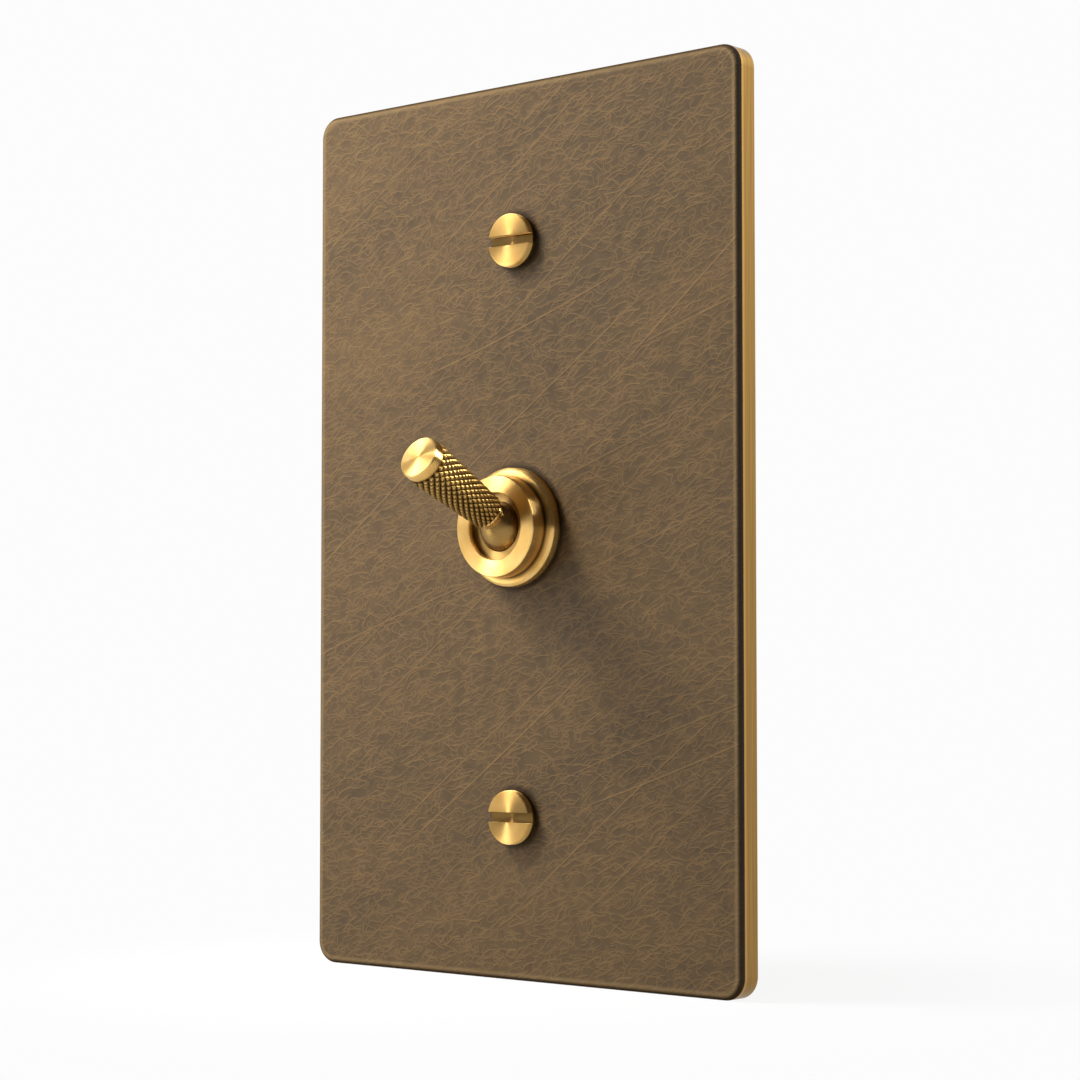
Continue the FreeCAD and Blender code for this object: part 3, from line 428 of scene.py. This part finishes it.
def lever():
    """Ball with a neck and stem in front and a bored tail behind."""
    ball = bmesh.new()
    bmesh.ops.create_uvsphere(ball, u_segments=72, v_segments=48, radius=3.7)
    stem = turned([(0, 10.0, 0), (1.5, 10.0, 0.2), (1.5, 3.4, 0), (2.0, 3.4, 0.1), (2.0, 2.6, 0),
                   (0, 2.6, 0)], closed=False, steps=48)
    tail = turned([(0, -1.7, 0), (1.0, -1.7, 0), (1.0, -6.3, 0.1), (1.6, -6.3, 0.15), (1.6, -2.8, 0),
                   (0, -2.8, 0)], closed=False, steps=48)
    # The ball, neck and tail get painted shade all over, as the nut's mouth shades the ball.
    return [stand(shell, DOLLY, 0.66) for shell in (ball, stem, tail)]


piece("ball_lever", lever(), "turned_brass", "dolly", "dolly_lever")


def knurled_sleeve(low, high, low_radius, high_radius, starts, rows):
    """Diamond knurl on a slight taper: flat-topped points between two families of grooves."""
    bm = bmesh.new()
    bmesh.ops.create_cone(bm, cap_ends=False, segments=starts, radius1=low_radius, radius2=high_radius,
                          depth=high - low, matrix=Matrix.Translation((0, 0, (low + high) / 2)))
    uprights = [edge for edge in bm.edges if abs(edge.verts[0].co.z - edge.verts[1].co.z) > 1]
    bmesh.ops.subdivide_edges(bm, edges=uprights, cuts=rows - 1, use_grid_fill=True)
    grid = bm.edges[:]
    # The middles of the facets lie on chords; they go out to the cone, and each becomes a corner of diamonds.
    middles = bmesh.ops.poke(bm, faces=bm.faces)["verts"]
    for middle in middles:
        middle.co.xy *= 1 / math.cos(math.pi / starts)
    bmesh.ops.dissolve_edges(bm, edges=[edge for edge in grid if len(edge.link_faces) == 2], use_verts=False)
    bmesh.ops.recalc_face_normals(bm, faces=bm.faces)
    # Painted shade: full in the grooves, half on the flanks, none on the flat tops.
    painted_recess_shade = bm.verts.layers.float.new("painted_recess_shade")
    for vert in bm.verts:
        vert[painted_recess_shade] = 1.0
    points = [face for face in bm.faces if len(face.verts) == 4]
    for thickness, depth, share in ((0.2, 0.28, 0.5), (0.1, 0.05, 0.0)):
        bmesh.ops.inset_individual(bm, faces=points, thickness=thickness, depth=depth, use_even_offset=True)
        for face in points:
            for vert in face.verts:
                vert[painted_recess_shade] = share
    bmesh.ops.holes_fill(bm, edges=[edge for edge in bm.edges if len(edge.link_faces) == 1], sides=0)
    return bm


def grip_ends():
    """Turned lead below the knurl, and above it a smooth cap with a faced end."""
    lead = turned([(0, 3.4, 0), (2.05, 3.4, 0.1), (2.33, 4.25, 0.1), (2.0, 5.0, 0), (0, 5.0, 0)],
                  closed=False)
    cap = turned([(0, 17.7, 0), (2.3, 17.7, 0), (3.22, 19.0, 0.08), (3.25, 19.25, 0.05), (3.16, 20.5, 0.3),
                  (0.12, 20.5, 0.02), (0, 20.47, 0)], closed=False)
    return [stand(shell, DOLLY) for shell in (lead, cap)]


sleeve = knurled_sleeve(low=4.2, high=19.1, low_radius=2.24, high_radius=3.18, starts=20, rows=11)
piece("knurled_grip", [stand(sleeve, DOLLY)], "knurled_brass", "dolly", "dolly_grip", crease=80)
piece("grip_ends", grip_ends(), "turned_brass", "dolly", "dolly_grip")


def box_screw(height):
    """Cheese-head screw with a milled slot and a rolled thread behind its relieved neck."""
    place = WALL @ Matrix.Translation((0, height, 0))
    half_slot, slot_floor, head_front, sunk = 0.75, 4.7, 5.7, 0.02
    core, root, crest, thread_start, tip = 1.36, 1.3, 1.75, -20.9, -21.4
    pitch, turns, steps = 0.79, 24.5, 24
    shank = turned([(0, slot_floor, 0), (SCREW_RADIUS, slot_floor, 0.05), (SCREW_RADIUS, PLATE_FRONT, 0.08),
                    (1.5, PLATE_FRONT, 0), (1.5, -0.3, 0), (core, -0.5, 0), (core, thread_start, 0.1),
                    (0.95, tip, 0.1), (0, tip, 0)], closed=False)
    # The floor of the slot is part of the shank, so both carry the painted shade of the slot.
    shells = [stand(shank, place, 0.8)]
    for side in (1, -1):
        half = bmesh.new()
        bmesh.ops.create_circle(half, cap_ends=True, segments=96, radius=SCREW_RADIUS,
                                matrix=Matrix.Translation((0, 0, slot_floor - sunk)))
        bmesh.ops.bisect_plane(half, geom=half.verts[:] + half.edges[:] + half.faces[:],
                               plane_co=(0, half_slot * side, 0), plane_no=(0, side, 0), clear_inner=True)
        raised = bmesh.ops.extrude_face_region(half, geom=half.faces[:], use_keep_orig=True)["geom"]
        raised = [item for item in raised if isinstance(item, bmesh.types.BMVert)]
        bmesh.ops.translate(half, vec=(0, 0, head_front - slot_floor + sunk), verts=raised)
        lips = [edge for edge in half.edges if min(vert.co.z for vert in edge.verts) > head_front - 0.1]
        rim = [edge for edge in lips if max(abs(vert.co.y) for vert in edge.verts) > half_slot + 0.01]
        bmesh.ops.bevel(half, geom=rim, offset=0.3, offset_type="OFFSET", affect="EDGES", segments=5,
                        profile=0.5, material=-1)
        shells.append(stand(half, place, worn=1.0))
    thread = bmesh.new()
    low, mid, high = (thread.verts.new((radius, 0, thread_start + along))
                      for radius, along in ((root, 0), (crest, 0.4), (root, 0.8)))
    thread.edges.new((low, mid))
    thread.edges.new((mid, high))
    bmesh.ops.spin(thread, geom=thread.verts[:] + thread.edges[:], cent=(0, 0, 0), axis=(0, 0, 1),
                   dvec=(0, 0, pitch / steps), angle=2 * math.pi * turns, steps=round(steps * turns),
                   use_merge=False)
    return shells + [stand(thread, place, worn=1.0)]


piece("slotted_screws", box_screw(SCREW_HEIGHT) + box_screw(-SCREW_HEIGHT), "turned_brass", "switch_body",
      "box_screws")


def eased(node, ease_mm):
    """A copy of a solid with its sharp outer edges eased, as moulding or tumbling leaves them."""
    bm = bmesh.new()
    bm.from_mesh(solids[node].data)
    bm.transform(solids[node].matrix_world)
    bmesh.ops.remove_doubles(bm, verts=bm.verts, dist=1e-6)
    bmesh.ops.dissolve_limit(bm, angle_limit=math.radians(1), verts=bm.verts, edges=bm.edges)
    sharp = [edge for edge in bm.edges if edge.is_convex and edge.calc_face_angle(0) > math.radians(40)]
    bmesh.ops.bevel(bm, geom=sharp, offset=ease_mm / 1000, offset_type="OFFSET", affect="EDGES", segments=2,
                    profile=0.5, material=-1, clamp_overlap=True)
    bmesh.ops.recalc_face_normals(bm, faces=bm.faces)
    return bm


# Works behind the plate: case, frame, terminals and the earth screw.
slots = {part["node"]: part["material_slot"] for part in frame["record"]["subparts"]}
for node, ease_mm in (("switch_case", 0.3), ("switch_frame", 0.18), ("upper_terminal", 0.12),
                      ("lower_terminal", 0.12), ("common_terminal", 0.12), ("clamp_washers", 0.12),
                      ("terminal_screws", 0.16), ("earth_washer", 0.12), ("earth_screw", 0.18)):
    piece(node + "_eased", [eased(node, ease_mm)], slots[node], "switch_body", node, crease=20)

# Floor under the plate's lower edge: white paper that a hand's breadth off runs out into the white sweep.
sheet = bpy.data.meshes.new("floor")
sweep = bmesh.new()
bmesh.ops.create_grid(sweep, x_segments=1, y_segments=1, size=6.0,
                      matrix=Matrix.Translation((0, 0, -PLATE_HALF[1] / 1000)))
sweep.to_mesh(sheet)
sweep.free()
floor = bpy.data.objects.new("floor", sheet)
bpy.context.scene.collection.objects.link(floor)

material = bpy.data.materials.new("white_paper_floor")
material.use_nodes = True
tree = material.node_tree
tree.nodes.clear()
rays = add(tree, "LightPath")
seen = add(tree, "Math", {0: rays.outputs["Is Camera Ray"], 1: rays.outputs["Is Glossy Ray"]},
           operation="MAXIMUM")
seen = add(tree, "Math", {0: seen, 1: rays.outputs["Is Transmission Ray"]}, operation="MAXIMUM")
paper = add(tree, "BsdfDiffuse", {"Color": linear("#A8A8A8")})
shaded = add(tree, "BsdfDiffuse", {"Color": linear("#5A5A5A")})
glow = add(tree, "Emission", {"Color": linear("#FFFFFF"), "Strength": 0.885})
lit = add(tree, "AddShader", {0: shaded, 1: glow})
spot = add(tree, "TexCoord").outputs["Object"]
away = add(tree, "VectorMath", {0: spot}, operation="LENGTH").outputs["Value"]
away = add(tree, "MapRange", {"Value": away, "From Min": 0.05, "From Max": 0.12},
           interpolation_type="SMOOTHSTEP")
far = add(tree, "Emission", {"Color": linear("#FCFCFC"), "Strength": 1.0})
lit = add(tree, "MixShader", {0: away, 1: lit, 2: far})
shown = add(tree, "MixShader", {0: seen, 1: paper, 2: lit})
add(tree, "OutputMaterial", {"Surface": shown})
sheet.materials.append(material)

# White to the camera; what the brass mirrors falls from white behind the switch to grey on the camera's side.
world = bpy.data.worlds.new("studio")
bpy.context.scene.world = world
world.use_nodes = True
tree = world.node_tree
tree.nodes.clear()
rays = add(tree, "LightPath")
mirrored = add(tree, "Math", {0: rays.outputs["Is Glossy Ray"], 1: rays.outputs["Is Transmission Ray"]},
               operation="MAXIMUM")
way = add(tree, "SeparateXYZ", {0: add(tree, "TexCoord").outputs["Generated"]})
room = add(tree, "MapRange", {"Value": way.outputs[1], "From Min": 0.0, "From Max": 0.7, "To Min": 0.08,
                              "To Max": 1.0}, interpolation_type="SMOOTHSTEP")
ambient = add(tree, "Background", {"Color": linear("#FFFFFF"), "Strength": 0.07})
mirror = add(tree, "Background", {"Color": room, "Strength": 1.0})
white = add(tree, "Background", {"Color": linear("#FCFCFC"), "Strength": 1.0})
shown = add(tree, "MixShader", {0: mirrored, 1: ambient, 2: mirror})
shown = add(tree, "MixShader", {0: rays.outputs["Is Camera Ray"], 1: shown, 2: white})
add(tree, "OutputWorld", {"Surface": shown})


def softbox(name, spot, width, height, watts, **rays):
    """A soft lamp aimed at the collar; rays names what it doesn't light."""
    lamp = bpy.data.lights.new(name, "AREA")
    lamp.shape, lamp.size, lamp.size_y, lamp.energy = "RECTANGLE", width, height, watts
    box = bpy.data.objects.new(name, lamp)
    box.location = spot
    box.rotation_euler = (-Vector(spot)).to_track_quat("-Z", "Y").to_euler()
    for ray, lit in rays.items():
        setattr(box, ray, lit)
    bpy.context.scene.collection.objects.link(box)


# One lamp throws the shadow; broader and dimmer boxes are what the brass mirrors.
softbox("key", (-0.21, -0.163, 0.292), 0.12, 0.12, 2.55, visible_glossy=False)
softbox("left_fill", (-0.2, -0.09, 0.02), 0.16, 0.16, 0.2, visible_glossy=False)
softbox("upper_left_box", (-0.51, -0.51, 0.45), 0.28, 0.28, 4.4, visible_diffuse=False)
softbox("front_left_box", (-0.66, -0.76, 0.06), 0.3, 0.4, 2.4, visible_diffuse=False)
softbox("right_box", (0.485, 0.11, 0.365), 0.16, 0.3, 12.5, visible_diffuse=False)

lens = bpy.data.cameras.new("camera")
lens.sensor_width, lens.sensor_fit, lens.lens = 36.0, "HORIZONTAL", 87.97
lens.clip_start, lens.clip_end = 0.01, 50
camera = bpy.data.objects.new("camera", lens)
camera.location = (0.249116, -0.292045, -0.021609)
camera.rotation_euler = (math.radians(92.98), 0, math.radians(40.32))
bpy.context.scene.collection.objects.link(camera)
bpy.context.scene.camera = camera
bpy.context.scene.view_settings.view_transform = "Standard"
